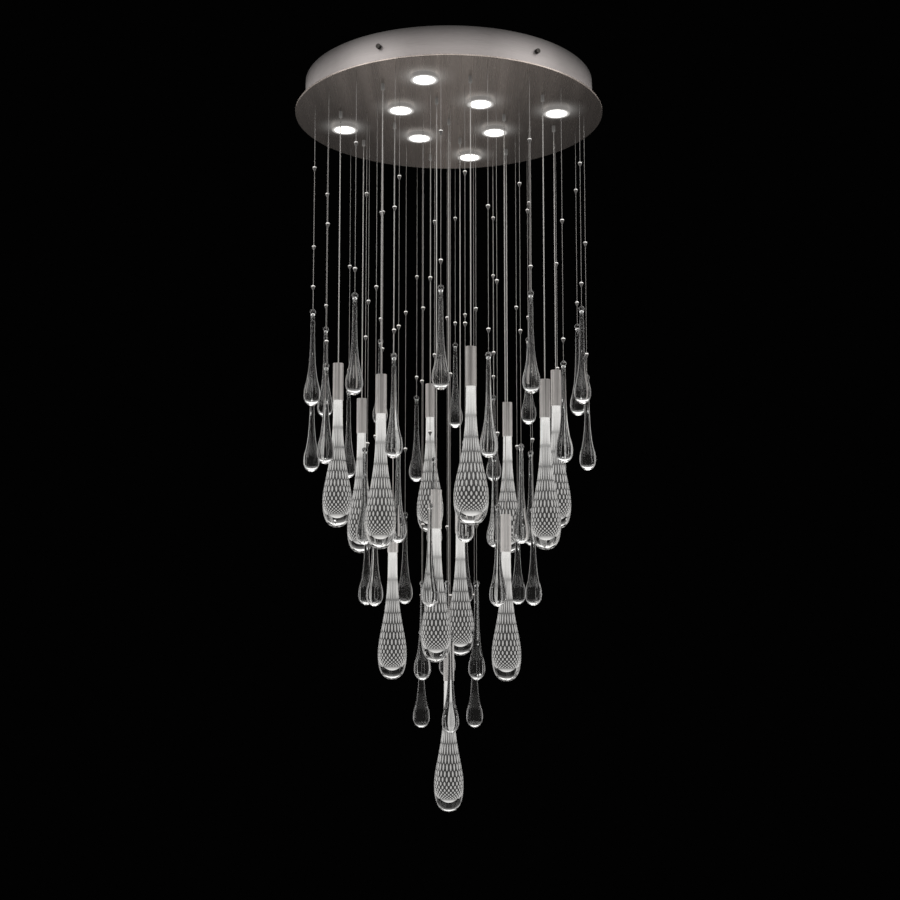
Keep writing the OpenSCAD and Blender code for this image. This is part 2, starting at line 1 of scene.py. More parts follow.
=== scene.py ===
import json
import math
import bpy
import bmesh
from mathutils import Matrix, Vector

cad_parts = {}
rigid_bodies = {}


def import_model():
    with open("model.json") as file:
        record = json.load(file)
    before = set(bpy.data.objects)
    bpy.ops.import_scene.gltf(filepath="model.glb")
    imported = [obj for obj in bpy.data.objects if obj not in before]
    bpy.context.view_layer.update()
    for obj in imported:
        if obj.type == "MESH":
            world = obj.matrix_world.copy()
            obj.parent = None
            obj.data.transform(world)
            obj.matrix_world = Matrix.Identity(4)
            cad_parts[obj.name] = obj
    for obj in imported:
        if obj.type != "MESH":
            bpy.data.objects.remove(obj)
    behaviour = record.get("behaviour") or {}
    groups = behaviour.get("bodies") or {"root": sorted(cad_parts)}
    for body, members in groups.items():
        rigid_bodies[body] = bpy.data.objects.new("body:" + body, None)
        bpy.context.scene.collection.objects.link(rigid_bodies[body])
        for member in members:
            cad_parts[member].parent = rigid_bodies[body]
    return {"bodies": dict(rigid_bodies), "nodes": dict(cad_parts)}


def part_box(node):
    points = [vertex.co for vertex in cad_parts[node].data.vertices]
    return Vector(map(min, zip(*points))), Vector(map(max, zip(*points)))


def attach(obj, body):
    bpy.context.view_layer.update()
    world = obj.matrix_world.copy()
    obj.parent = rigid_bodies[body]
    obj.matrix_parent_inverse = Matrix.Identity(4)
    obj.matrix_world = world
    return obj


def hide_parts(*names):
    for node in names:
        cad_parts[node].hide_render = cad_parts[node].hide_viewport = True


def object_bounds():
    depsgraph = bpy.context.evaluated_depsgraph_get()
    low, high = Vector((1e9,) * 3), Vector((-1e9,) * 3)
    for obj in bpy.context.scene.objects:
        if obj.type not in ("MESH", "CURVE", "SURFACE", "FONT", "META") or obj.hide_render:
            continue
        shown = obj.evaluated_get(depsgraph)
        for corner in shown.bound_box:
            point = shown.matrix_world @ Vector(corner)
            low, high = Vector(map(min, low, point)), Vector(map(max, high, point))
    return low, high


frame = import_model()
cad_low, cad_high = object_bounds()
nodes = frame["nodes"]

# Camera.
# It stands in front of the light at eye height and looks up by six degrees, as the photograph
# was taken. Its place is given in radii of the canopy plate.
plate_low, plate_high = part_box("canopy_plate")
plate_radius = (plate_high.x - plate_low.x) / 2
plate_under = plate_low.z
IMAGE_SIDE = 900
FOCAL_PIXELS = 1257.5
AXIS_PIXEL = 448.8
SENSOR_MM = 36.0
CAMERA_DISTANCE = 7.982
CAMERA_DROP = 3.0245
CAMERA_PITCH = math.radians(5.999)


def in_scene(name, data):
    """A new object of a mesh, lamp or camera, linked to the scene."""
    item = bpy.data.objects.new(name, data)
    bpy.context.scene.collection.objects.link(item)
    return item


camera_data = bpy.data.cameras.new("camera")
camera_data.sensor_width = SENSOR_MM
camera_data.lens = SENSOR_MM * FOCAL_PIXELS / IMAGE_SIDE
camera_data.shift_x = (IMAGE_SIDE / 2 - AXIS_PIXEL) / IMAGE_SIDE
camera = in_scene("camera", camera_data)
camera.location = (0, -CAMERA_DISTANCE * plate_radius, plate_under - CAMERA_DROP * plate_radius)
camera.rotation_euler = (math.pi / 2 + CAMERA_PITCH, 0, 0)
bpy.context.scene.camera = camera
bpy.context.scene.view_settings.view_transform = "Standard"

# Room.
# A pale floor under the light and a dark room round it. Metal shows the room as a dim grey that
# brightens overhead. Glass shows it darker, with a pale ceiling that draws a crescent in each
# drop's foot, and pale walls at the sides that draw the drops' outlines.
AMBIENT_COLOUR = (0.36, 0.35, 0.345)
ROOM_COLOUR = (0.0006, 0.0006, 0.0006)
METAL_WALL_COLOUR = (0.062, 0.058, 0.056)
METAL_CEILING_COLOUR = (1.0, 0.98, 0.96)
GLASS_WALL_COLOUR = (0.007, 0.0068, 0.0066)
GLASS_COVE_COLOUR = (0.20, 0.197, 0.193)
GLASS_CEILING_COLOUR = (1.8, 1.775, 1.74)
GLASS_SIDE_COLOUR = (0.50, 0.488, 0.481)

# Each view pairs the upward or sideways part of a ray's direction with what is seen there.
METAL_HEIGHTS = ((0.42, METAL_WALL_COLOUR), (0.66, METAL_CEILING_COLOUR))
GLASS_HEIGHTS = ((0.40, GLASS_WALL_COLOUR), (0.60, GLASS_COVE_COLOUR),
                 (0.72, GLASS_CEILING_COLOUR))
GLASS_SIDES = ((0.77, (0.0, 0.0, 0.0)), (0.91, GLASS_SIDE_COLOUR))


def add_node(owner, kind, **settings):
    """A new shader node of a material or of the world."""
    node = owner.node_tree.nodes.new(kind)
    for key, value in settings.items():
        setattr(node, key, value)
    return node


def join(owner, source, target):
    owner.node_tree.links.new(source, target)


def coordinates(owner, kind):
    return add_node(owner, "ShaderNodeTexCoord").outputs[kind]


def axes_of(owner, vector):
    """The X, Y and Z of a vector."""
    split = add_node(owner, "ShaderNodeSeparateXYZ")
    join(owner, vector, split.inputs[0])
    return split.outputs


def calculate(owner, operation, first, second=None):
    """A Math node on one or two values."""
    node = add_node(owner, "ShaderNodeMath", operation=operation)
    join(owner, first, node.inputs[0])
    if second is not None:
        join(owner, second, node.inputs[1])
    return node.outputs[0]


def map_range(owner, source, from_low, from_high, to_low=0, to_high=1):
    node = add_node(owner, "ShaderNodeMapRange")
    node.inputs["From Min"].default_value = from_low
    node.inputs["From Max"].default_value = from_high
    node.inputs["To Min"].default_value = to_low
    node.inputs["To Max"].default_value = to_high
    join(owner, source, node.inputs["Value"])
    return node.outputs["Result"]


def stops_ramp(owner, source, stops):
    """Maps a 0 to 1 value onto colours. Each stop is a position and its colour, lowest first."""
    node = add_node(owner, "ShaderNodeValToRGB")
    elements = node.color_ramp.elements
    for i, (position, colour) in enumerate(stops):
        element = elements[i] if i < 2 else elements.new(position)
        element.position = position
        element.color = (*colour, 1)
    join(owner, source, node.inputs["Fac"])
    return node.outputs["Color"]


def even_stops(colours, low=0.0, high=1.0):
    """Colours at even steps from a low to a high position."""
    last = len(colours) - 1
    return [(low + (high - low) * i / last, colour) for i, colour in enumerate(colours)]


def ramp(owner, source, colours, low=0.0, high=1.0):
    return stops_ramp(owner, source, even_stops(colours, low, high))


def mix_colours(owner, blend, first, second):
    """Two colours mixed in full by a blend mode."""
    node = add_node(owner, "ShaderNodeMix", data_type="RGBA", blend_type=blend)
    node.inputs["Factor"].default_value = 1.0
    join(owner, first, node.inputs[6])
    join(owner, second, node.inputs[7])
    return node.outputs[2]


def mix_shaders(owner, share, first, second):
    node = add_node(owner, "ShaderNodeMixShader")
    join(owner, share, node.inputs["Fac"])
    join(owner, first, node.inputs[1])
    join(owner, second, node.inputs[2])
    return node.outputs[0]


world = bpy.data.worlds.new("dark_room")
bpy.context.scene.world = world
world.use_nodes = True
ambient = world.node_tree.nodes["Background"]
ambient.inputs["Color"].default_value = (*AMBIENT_COLOUR, 1)
world_rays = add_node(world, "ShaderNodeLightPath").outputs
world_axes = axes_of(world, coordinates(world, "Generated"))
metal_view = stops_ramp(world, world_axes["Z"], METAL_HEIGHTS)
glass_rise = stops_ramp(world, world_axes["Z"], GLASS_HEIGHTS)
glass_sides = stops_ramp(world, calculate(world, "ABSOLUTE", world_axes["X"]), GLASS_SIDES)
glass_view = mix_colours(world, "LIGHTEN", glass_rise, glass_sides)
room = ambient.outputs[0]
for ray, view in (("Is Glossy Ray", metal_view), ("Is Transmission Ray", glass_view),
                  ("Is Camera Ray", None)):
    seen = add_node(world, "ShaderNodeBackground")
    seen.inputs["Color"].default_value = (*ROOM_COLOUR, 1)
    if view is not None:
        join(world, view, seen.inputs["Color"])
    room = mix_shaders(world, world_rays[ray], room, seen.outputs[0])
join(world, room, world.node_tree.nodes["World Output"].inputs["Surface"])

FLOOR_DROP = 0.85
FLOOR_RADIUS = 2.3
FLOOR_SIDES = 96
FLOOR_COLOUR = (0.72, 0.71, 0.69, 1)
FLOOR_ROUGHNESS = 0.8
# Metal and glass show the floor pale under the light, out to a share of its radius, and dark
# beyond.
FLOOR_POOL = 0.7
FLOOR_SEEN = ((0.36, 0.355, 0.345), (0.36, 0.355, 0.345), (0.26, 0.256, 0.25),
              (0.007, 0.0068, 0.0066))


def shader_of(material):
    return material.node_tree.nodes["Principled BSDF"]


def new_material(name, values):
    """A material with only a Principled shader, whose plain values are set."""
    material = bpy.data.materials.new(name)
    material.use_nodes = True
    for socket, value in values.items():
        shader_of(material).inputs[socket].default_value = value
    return material


floor_mesh = bpy.data.meshes.new("floor")
floor_shape = bmesh.new()
bmesh.ops.create_circle(floor_shape, cap_ends=True, segments=FLOOR_SIDES, radius=FLOOR_RADIUS)
floor_shape.to_mesh(floor_mesh)
floor_shape.free()
floor = in_scene("floor", floor_mesh)
floor.location = (0, 0, cad_low.z - FLOOR_DROP)
floor_material = new_material("pale_floor", {"Base Color": FLOOR_COLOUR,
                                             "Roughness": FLOOR_ROUGHNESS})
floor_reach = add_node(floor_material, "ShaderNodeVectorMath", operation="LENGTH")
join(floor_material, coordinates(floor_material, "Object"), floor_reach.inputs[0])
floor_share = map_range(floor_material, floor_reach.outputs["Value"], 0, FLOOR_RADIUS)
floor_seen = add_node(floor_material, "ShaderNodeEmission")
join(floor_material, ramp(floor_material, floor_share, FLOOR_SEEN, high=FLOOR_POOL),
     floor_seen.inputs["Color"])
floor_rays = add_node(floor_material, "ShaderNodeLightPath").outputs
floor_mirrored = calculate(floor_material, "MAXIMUM", floor_rays["Is Glossy Ray"],
                           floor_rays["Is Transmission Ray"])
join(floor_material,
     mix_shaders(floor_material, floor_mirrored, shader_of(floor_material).outputs[0],
                 floor_seen.outputs[0]),
     floor_material.node_tree.nodes["Material Output"].inputs["Surface"])
floor_mesh.materials.append(floor_material)

# Three high soft boxes light the canopy from the front and both sides. The strips beside the
# drops and the box behind them only brighten edges, so they cast no shadows.
LAMP_COLOUR = (1, 0.98, 0.96)
AIM_ABOVE_PLATE = 0.05
canopy_middle = (0, 0, plate_under + AIM_ABOVE_PLATE)
drop_middle = (0, 0, (cad_low.z + plate_under) / 2)


def soft_box(name, place, target, width, height, watts, shadows=True):
    """A rectangular soft box that faces its target. The camera and the glass look through it."""
    data = bpy.data.lights.new(name, "AREA")
    data.shape = "RECTANGLE"
    data.size = width
    data.size_y = height
    data.energy = watts
    data.color = LAMP_COLOUR
    data.use_shadow = shadows
    lamp = in_scene(name, data)
    lamp.location = place
    toward = Vector(target) - Vector(place)
    lamp.rotation_euler = toward.to_track_quat("-Z", "Y").to_euler()
    lamp.visible_camera = False
    lamp.visible_transmission = False


soft_box("front_box", (0, -3.6, 1.2), canopy_middle, width=3.6, height=2.0, watts=13)
soft_box("left_high_box", (-2.8, -1.7, 1.0), canopy_middle, width=2.6, height=2.6, watts=27)
soft_box("right_high_box", (2.8, -1.5, 1.0), canopy_middle, width=2.6, height=2.6, watts=27)
soft_box("left_strip", (-2.5, 0.9, -0.9), drop_middle, width=1.8, height=3.2, watts=17,
         shadows=False)
soft_box("right_strip", (2.5, 0.9, -0.9), drop_middle, width=1.8, height=3.2, watts=11,
         shadows=False)
soft_box("back_box", (-0.9, 4.2, -2.35), canopy_middle, width=3.0, height=1.0, watts=1.5,
         shadows=False)

# Canopy.
# A rolled drum on a round plate that stands out past it, both of satin nickel. The plate's brush
# runs from front to back and is so fine that the cables mirror in it. The drum's colour is
# painted darker upwards, as painted shade.
PLATE_DARK = (0.58, 0.512, 0.467)
PLATE_LIGHT = (0.80, 0.705, 0.645)
DRUM_DARK = (0.50, 0.465, 0.46)
DRUM_LIGHT = (0.64, 0.60, 0.595)
NOISE_LOW = 0.3
NOISE_HIGH = 0.7
BRUSH_DETAIL = 4
BRUSH_RELIEF = 0.35
BRUSH_TONE_LOW = 0.35
BRUSH_TONE_HIGH = 0.65
CLOUD_DETAIL = 3
ROUGHNESS_SPREAD = 0.12


def noise(material, scales, detail, place=None):
    """Noise scaled along X, Y and Z, on Object coordinates unless another place is given."""
    mapping = add_node(material, "ShaderNodeMapping")
    mapping.inputs["Scale"].default_value = scales
    node = add_node(material, "ShaderNodeTexNoise")
    node.inputs["Scale"].default_value = 1.0
    node.inputs["Detail"].default_value = detail
    join(material, place or coordinates(material, "Object"), mapping.inputs["Vector"])
    join(material, mapping.outputs["Vector"], node.inputs["Vector"])
    return node.outputs["Fac"]


def coat(material, colour):
    """Leads a colour to the shader."""
    join(material, colour, shader_of(material).inputs["Base Color"])


def bump(material, height, strength, distance):
    node = add_node(material, "ShaderNodeBump")
    node.inputs["Strength"].default_value = strength
    node.inputs["Distance"].default_value = distance
    join(material, height, node.inputs["Height"])
    join(material, node.outputs["Normal"], shader_of(material).inputs["Normal"])


def brushed_metal(name, dark, light, metallic, roughness, lines, depth,
                  clouds=(2.2, 2.2, 2.2), cloudy=0.55):
    """Satin metal with fine straight brush lines under broad clouds, both scaled along X, Y, Z."""
    material = new_material(name, {"Metallic": metallic})
    brush = noise(material, lines, BRUSH_DETAIL)
    tone = add_node(material, "ShaderNodeMix", data_type="FLOAT")
    tone.inputs["Factor"].default_value = cloudy
    join(material, brush, tone.inputs[2])
    join(material, noise(material, clouds, CLOUD_DETAIL), tone.inputs[3])
    colour = ramp(material, tone.outputs[0], (dark, light), BRUSH_TONE_LOW, BRUSH_TONE_HIGH)
    coat(material, colour)
    gloss = map_range(material, brush, NOISE_LOW, NOISE_HIGH,
                      roughness * (1 - ROUGHNESS_SPREAD), roughness * (1 + ROUGHNESS_SPREAD))
    join(material, gloss, shader_of(material).inputs["Roughness"])
    bump(material, brush, BRUSH_RELIEF, depth)
    return material, colour


def tinted(greys, tint=(1.0, 1.0, 1.0)):
    """Greys as colours that lean to a tint."""
    return [tuple(value * part for part in tint) for value in greys]


def shaded(material, colour, share, greys, low=0.0, high=1.0):
    """A colour times greys that follow a 0 to 1 value."""
    return mix_colours(material, "MULTIPLY", colour,
                       ramp(material, share, tinted(greys), low, high))


def height_share(material, low, high):
    """How far up a surface lies between two heights, from 0 to 1."""
    return map_range(material, axes_of(material, coordinates(material, "Object"))["Z"], low, high)


def paint(node_name, material):
    mesh = nodes[node_name].data
    mesh.materials.clear()
    mesh.materials.append(material)


# Painted shade: the drum's colour is painted darker up to its top edge.
DRUM_PAINTED_SHADE_GREYS = (1.0, 0.88, 0.52, 0.10)
drum_low, drum_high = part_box("canopy_drum")
drum_metal, drum_colour = brushed_metal(
    "brushed_drum", DRUM_DARK, DRUM_LIGHT, metallic=0.55, roughness=0.42, lines=(25, 25, 900),
    depth=0.0004)
drum_height = height_share(drum_metal, drum_low.z, drum_high.z)
coat(drum_metal, shaded(drum_metal, drum_colour, drum_height, DRUM_PAINTED_SHADE_GREYS))
paint("canopy_drum", drum_metal)

# Painted shade: the plate's faces are painted darker towards both sides, more so at the back, for
# the glow of the middle that the brush spreads in long streaks. Its edge is left out of the
# painted shade and stays bright.
PLATE_ANISOTROPY = 0.85
PLATE_PAINTED_SHADE_GREYS = (1.0, 0.62, 0.34, 0.27, 0.24)
PLATE_SPREAD_FRONT = 0.3
PLATE_SPREAD_BACK = 1.2
plate_metal, plate_colour = brushed_metal(
    "brushed_plate", PLATE_DARK, PLATE_LIGHT, metallic=0.85, roughness=0.27,
    lines=(110, 1.5, 110), depth=0.000004, clouds=(24, 0.9, 24), cloudy=0.94)
plate_shader = shader_of(plate_metal)
plate_shader.inputs["Anisotropic"].default_value = PLATE_ANISOTROPY
plate_across = add_node(plate_metal, "ShaderNodeCombineXYZ")
plate_across.inputs["X"].default_value = 1.0
join(plate_metal, plate_across.outputs[0], plate_shader.inputs["Tangent"])
plate_axes = axes_of(plate_metal, coordinates(plate_metal, "Object"))
plate_spread = map_range(plate_metal, plate_axes["Y"], plate_low.y, plate_high.y,
                         PLATE_SPREAD_FRONT, PLATE_SPREAD_BACK)
plate_sideways = calculate(plate_metal, "ABSOLUTE", plate_axes["X"])
plate_normal = axes_of(plate_metal, coordinates(plate_metal, "Normal"))
plate_flat = calculate(plate_metal, "ABSOLUTE", plate_normal["Z"])
plate_shade_reach = calculate(plate_metal, "MULTIPLY", plate_spread, plate_sideways)
plate_shade_reach = calculate(plate_metal, "MULTIPLY", plate_shade_reach, plate_flat)
plate_shade_share = map_range(plate_metal, plate_shade_reach, 0, plate_radius)
coat(plate_metal, shaded(plate_metal, plate_colour, plate_shade_share, PLATE_PAINTED_SHADE_GREYS))
paint("canopy_plate", plate_metal)

# Painted light: a halo of glow is painted on the plate round each lit lens, and fades from the
# lens's rim out to its reach.
MERGE_DISTANCE = 1e-6
LENS_RADIUS = 0.0295
LENS_TINT = (1.0, 0.98, 0.95)
HALO_REACH = 0.095
PAINTED_HALO_GREYS = (0.50, 0.16, 0.08, 0.04, 0.018, 0.007, 0.0)
HALO_TURN_LOW = 0.2
HALO_TURN_HIGH = 0.8


def solid_centres(node_name):
    """The axis and top of each separate solid of a node, from its mesh."""
    copy = bmesh.new()
    copy.from_mesh(nodes[node_name].data)
    bmesh.ops.remove_doubles(copy, verts=copy.verts, dist=MERGE_DISTANCE)
    unseen = set(copy.verts)
    found = []
    while unseen:
        group = [unseen.pop()]
        for vert in group:
            for edge in vert.link_edges:
                other = edge.other_vert(vert)
                if other in unseen:
                    unseen.remove(other)
                    group.append(other)
        xs = [v.co.x for v in group]
        ys = [v.co.y for v in group]
        top = max(v.co.z for v in group)
        found.append(((min(xs) + max(xs)) / 2, (min(ys) + max(ys)) / 2, top))
    copy.free()
    return sorted(found)


def glow(material, colour, strength=1.0):
    """Lets a surface give off light of a colour."""
    shader = shader_of(material)
    join(material, colour, shader.inputs["Emission Color"])
    shader.inputs["Emission Strength"].default_value = strength


def halo(material, places, greys, reach):
    """Paints a glow, as painted light, on the metal round lit lenses, by distance from the
    nearest.

    Faces that look up get none of it."""
    position = coordinates(material, "Object")
    nearest = None
    for place in places:
        distance = add_node(material, "ShaderNodeVectorMath", operation="DISTANCE")
        distance.inputs[1].default_value = place
        join(material, position, distance.inputs[0])
        if nearest is None:
            nearest = distance.outputs["Value"]
        else:
            nearest = calculate(material, "MINIMUM", nearest, distance.outputs["Value"])
    share = map_range(material, nearest, 0, reach)
    light = ramp(material, share, tinted(greys, LENS_TINT), low=LENS_RADIUS / reach)
    normal = axes_of(material, coordinates(material, "Normal"))
    upward = map_range(material, normal["Z"], HALO_TURN_LOW, HALO_TURN_HIGH)
    glow(material, shaded(material, light, upward, (1.0, 0.0)))


lens_places = solid_centres("puck_lenses")
halo(plate_metal, lens_places, PAINTED_HALO_GREYS, HALO_REACH)

# Fastenings.
# Thumbscrews hold the drum to the steel frame inside it, and small screws hold the plate and the
# drivers. The thumbscrews are blackened; the frame, screws, nuts and wire stops are zinc plated.
SCREW_DARK = (0.03, 0.027, 0.025)
SCREW_LIGHT = (0.075, 0.07, 0.065)
ZINC_DARK = (0.36, 0.37, 0.38)
ZINC_LIGHT = (0.52, 0.53, 0.54)
dark_screw = new_material("blackened_screw", {"Metallic": 0.8, "Roughness": 0.4})
coat(dark_screw, ramp(dark_screw, noise(dark_screw, (300, 300, 300), detail=3),
                      (SCREW_DARK, SCREW_LIGHT), NOISE_LOW, NOISE_HIGH))
paint("drum_screws", dark_screw)
zinc = brushed_metal("zinc_plate", ZINC_DARK, ZINC_LIGHT, metallic=0.8, roughness=0.4,
                     lines=(140, 140, 140), depth=0.0002)[0]
for node_name in ("ceiling_frame", "plate_screws", "puck_nuts", "wire_stops", "driver_screws"):
    paint(node_name, zinc)

# Drivers and terminals.
# Moulded plastic cases inside the drum, seen only from above. Each material's grain is a fine
# noise that tints and dents it.
PLASTIC_RELIEF = 0.2
PLASTIC_DEPTH = 0.0002
WHITE_CASE = ((0.62, 0.62, 0.61), (0.74, 0.74, 0.73))
IVORY_CASE = ((0.6, 0.57, 0.48), (0.7, 0.67, 0.58))


def moulded_plastic(name, dark, light):
    material = new_material(name, {"Roughness": 0.5})
    grain = noise(material, (900, 900, 900), detail=4)
    coat(material, ramp(material, grain, (dark, light), NOISE_LOW, NOISE_HIGH))
    bump(material, grain, PLASTIC_RELIEF, PLASTIC_DEPTH)
    return material


paint("lamp_drivers", moulded_plastic("white_plastic", *WHITE_CASE))
paint("terminal_block", moulded_plastic("ivory_plastic", *IVORY_CASE))

# Puck lights.
# A shallow turned housing holds a frosted lens that glows evenly from the board behind it. The
# housing's rim is painted with a narrower, brighter halo of glow than the plate is.
HOUSING_DARK = (0.28, 0.26, 0.247)
HOUSING_LIGHT = (0.38, 0.355, 0.336)
RIM_REACH = 0.062
RIM_PAINTED_HALO_GREYS = (0.75, 0.36, 0.09, 0.04, 0.02, 0.01, 0.0)
BOARD_WHITE = ((0.7, 0.7, 0.68), (0.82, 0.82, 0.8))
LENS_COLOUR = (0.9, 0.88, 0.85, 1)
LENS_LIGHTS = ((1.0, 0.95, 0.88), (1.0, 0.98, 0.94))
LENS_CLOUD_LOW = 0.2
LENS_CLOUD_HIGH = 0.8
LENS_GLOW = 3.0
puck_metal = brushed_metal("puck_metal", HOUSING_DARK, HOUSING_LIGHT, metallic=0.5,
                           roughness=0.35, lines=(300, 300, 40), depth=0.0002)[0]
halo(puck_metal, lens_places, RIM_PAINTED_HALO_GREYS, RIM_REACH)
paint("puck_housings", puck_metal)
paint("puck_boards", moulded_plastic("board_white", *BOARD_WHITE))
lens_frost = new_material("frosted_lens", {"Base Color": LENS_COLOUR, "Roughness": 0.35})
glow(lens_frost, ramp(lens_frost, noise(lens_frost, (40, 40, 40), detail=3), LENS_LIGHTS,
                      LENS_CLOUD_LOW, LENS_CLOUD_HIGH), LENS_GLOW)
paint("puck_lenses", lens_frost)

# Cables, wires and beads.
# Bright stranded wire carries the clear drops; a clear jacket over bright conductors carries
# the lit ones. The beads are polished, and the glands have the pucks' glow painted at their
# mouths.
WIRE_COLOUR = (0.46, 0.445, 0.435)
CABLE_COLOUR = (0.68, 0.663, 0.646)
BEAD_COLOUR = (0.97, 0.95, 0.93)
STRAND_SHADE = 0.88
STRAND_STRETCH = 0.25


def stranded(name, colour, metallic, roughness, twist):
    """Bright metal whose tone follows a fine twist, drawn out along the wire."""
    material = new_material(name, {"Metallic": metallic, "Roughness": roughness})
    strand = noise(material, (twist, twist, twist * STRAND_STRETCH), detail=2)
    dark = tuple(part * STRAND_SHADE for part in colour)
    tone = ramp(material, strand, (dark, colour), NOISE_LOW, NOISE_HIGH)
    coat(material, tone)
    return material, tone


wire_metal = stranded("bright_wire", WIRE_COLOUR, metallic=0.6, roughness=0.35, twist=700)[0]
cable_jacket = stranded("jacketed_cable", CABLE_COLOUR, metallic=0.4, roughness=0.3,
                        twist=500)[0]
paint("suspension_wires", wire_metal)

# Painted light and shade: a bead's dome faces the pucks and its taper faces away from them, so
# the taper's colour is painted darker and the dome gets a painted glow, by the way that the
# surface faces, from 0 downwards to 1 upwards. High beads get the most painted glow.
WARM_TINT = (1.0, 0.985, 0.96)
BEAD_TAPER_PAINTED_SHADE = (0.30, 1.0)
BEAD_TAPER_LOW = 0.32
BEAD_TAPER_HIGH = 0.5
BEAD_DOME_PAINTED_GLOWS = (0.0, 0.50)
BEAD_GLOW_LOW = 0.42
BEAD_GLOW_HIGH = 0.7
BEAD_PAINTED_GLOW_HEIGHT_GREYS = (0.1, 0.2, 0.5, 0.9, 1.0)
bead_metal, bead_tone = stranded("polished_bead", BEAD_COLOUR, metallic=0.5, roughness=0.3,
                                 twist=200)
bead_normal = axes_of(bead_metal, coordinates(bead_metal, "Normal"))
bead_facing = map_range(bead_metal, bead_normal["Z"], -1, 1)
coat(bead_metal, shaded(bead_metal, bead_tone, bead_facing, BEAD_TAPER_PAINTED_SHADE,
                        BEAD_TAPER_LOW, BEAD_TAPER_HIGH))
bead_painted_glow = ramp(bead_metal, bead_facing, tinted(BEAD_DOME_PAINTED_GLOWS, WARM_TINT),
                  BEAD_GLOW_LOW, BEAD_GLOW_HIGH)
glow(bead_metal, shaded(bead_metal, bead_painted_glow, height_share(bead_metal, cad_low.z, plate_under),
                        BEAD_PAINTED_GLOW_HEIGHT_GREYS))
paint("wire_beads", bead_metal)

# Painted light: the glands glow most at their tops by the plate, for the pucks' light.
GLAND_DARK = (0.16, 0.148, 0.138)
GLAND_LIGHT = (0.23, 0.214, 0.20)
GLAND_PAINTED_GLOWS = (0.10, 0.07, 0.06, 0.05)
gland_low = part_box("cable_glands")[0]
gland_metal = brushed_metal("gland_nickel", GLAND_DARK, GLAND_LIGHT, metallic=0.5,
                            roughness=0.35, lines=(400, 400, 40), depth=0.0002)[0]
gland_height = height_share(gland_metal, gland_low.z, plate_under)
glow(gland_metal, ramp(gland_metal, gland_height, tinted(GLAND_PAINTED_GLOWS, WARM_TINT)))
paint("cable_glands", gland_metal)

# Clear drops.
# Solid teardrops of clear glass, drawn out into a thin neck with a small knob that grips the
# wire. Each is turned on its own axis, so its outline follows one curve.
# The pulls place the curve's handles, as shares of the depth of the widest place.
RING_POINTS = 80
BODY_RINGS = 30
END_RINGS = 16
DROP_LENGTH = 0.275
DROP_RADIUS = 0.0235
DROP_NECK_RADIUS = 0.006
DROP_NECK_LENGTH = 0.045
DROP_KNOB_RADIUS = 0.00825
DROP_KNOB_MIDDLE = 0.87 * DROP_KNOB_RADIUS
DROP_KNOB_END = 1.5 * DROP_KNOB_RADIUS
DROP_KNOB_DEGREES = range(60, -30, -10)
DROP_END = 0.029
DROP_NECK_PULL = 0.91
DROP_BODY_PULL = 0.82
DROP_FULLNESS = 0.55


def cubic_run(a, b, c, d, steps):
    """Points along a cubic curve from a to d, which b and c pull."""
    shares = [i / steps for i in range(steps + 1)]
    return [tuple(a[i] * (1 - u) ** 3 + b[i] * 3 * u * (1 - u) ** 2
                  + c[i] * 3 * u * u * (1 - u) + d[i] * u ** 3 for i in (0, 1)) for u in shares]


def round_end(radius, height, depth, fullness, steps):
    """A rounded bottom from the widest place to the axis; a fullness of 0.55 is an ellipse."""
    return cubic_run((radius, depth), (radius, depth - height * fullness),
                     (radius * fullness, depth - height), (0, depth - height), steps)[1:]


def clear_drop_outline():
    """Radius and height of each ring, from the top of the knob to the foot."""
    wide = DROP_LENGTH - DROP_END
    knob = [(DROP_KNOB_RADIUS * math.cos(math.radians(a)),
             DROP_KNOB_RADIUS * math.sin(math.radians(a)) - DROP_KNOB_MIDDLE)
            for a in DROP_KNOB_DEGREES]
    neck = [(DROP_NECK_RADIUS, -DROP_KNOB_END)]
    body = cubic_run((DROP_NECK_RADIUS, -DROP_NECK_LENGTH),
                     (DROP_NECK_RADIUS, -wide * DROP_NECK_PULL),
                     (DROP_RADIUS, -wide * DROP_BODY_PULL), (DROP_RADIUS, -wide), BODY_RINGS)
    return ([(0, 0)] + knob + neck + body
            + round_end(DROP_RADIUS, DROP_END, -wide, DROP_FULLNESS, END_RINGS))


def turned(shape, outline, centre):
    """Adds one turned piece to a bmesh. The outline runs from the top of the axis to its foot."""
    rings = []
    for radius, height in outline:
        if radius < MERGE_DISTANCE:
            rings.append([shape.verts.new((centre[0], centre[1], centre[2] + height))])
            continue
        ring = []
        for i in range(RING_POINTS):
            turn = 2 * math.pi * i / RING_POINTS
            ring.append(shape.verts.new((centre[0] + radius * math.cos(turn),
                                         centre[1] + radius * math.sin(turn),
                                         centre[2] + height)))
        rings.append(ring)
    for upper, lower in zip(rings, rings[1:]):
        for i in range(RING_POINTS):
            j = (i + 1) % RING_POINTS
            if len(upper) == 1:
                shape.faces.new((upper[0], lower[i], lower[j]))
            elif len(lower) == 1:
                shape.faces.new((upper[i], lower[0], upper[j]))
            else:
                shape.faces.new((upper[i], lower[i], lower[j], upper[j]))


def finished(name, shape, material):
    """Makes a bmesh into an object with one material and smooth faces."""
    bmesh.ops.recalc_face_normals(shape, faces=shape.faces)
    mesh = bpy.data.meshes.new(name)
    shape.to_mesh(mesh)
    shape.free()
    mesh.materials.append(material)
    mesh.polygons.foreach_set("use_smooth", [True] * len(mesh.polygons))
    return in_scene(name, mesh)


def solid_glass(name, index, roughness, clouds, tint):
    """Clear glass that is tinted a little in places."""
    material = new_material(name, {"Transmission Weight": 1.0, "IOR": index,
                                   "Roughness": roughness})
    coat(material, ramp(material, noise(material, clouds, detail=2), (tint, (1.0, 1.0, 1.0)),
                        NOISE_LOW, NOISE_HIGH))
    return material


